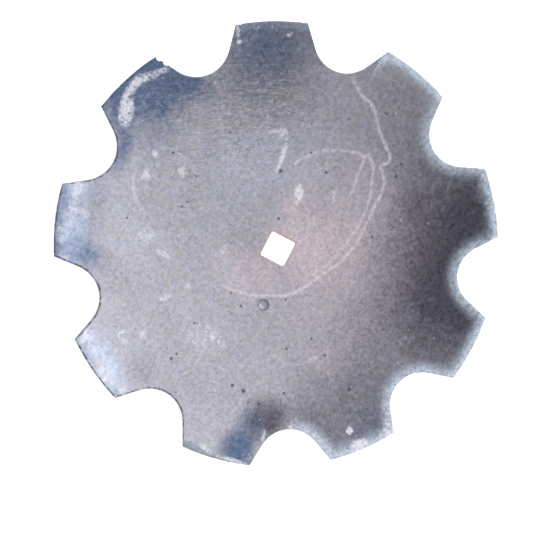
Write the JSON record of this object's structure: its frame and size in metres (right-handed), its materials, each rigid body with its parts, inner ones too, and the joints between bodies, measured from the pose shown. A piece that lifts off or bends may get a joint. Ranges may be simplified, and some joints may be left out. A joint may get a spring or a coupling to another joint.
{
  "type": "harrow disc blade",
  "caption": "Dished, scalloped steel blade with a square axle hole and a flat centre, for a tillage disc gang.",
  "frame": {"origin": "on the blade's axis, at the middle of the square hole, in the plane of the convex side of the flat centre, on which it rests", "axes": "+Z along the blade's axis, out of the dish; +X and +Y parallel to the sides of the square hole, with +Y through the middle of a scallop"},
  "size_m": [0.51, 0.5054, 0.0616],
  "materials": {
    "blade_steel": "bare hardened plate, lightly oiled, with dried tide marks, fine pits and a blue sheen near the rim"
  },
  "bodies": {
    "root": {"disc_blade": "blade_steel"}
  },
  "joints": []
}
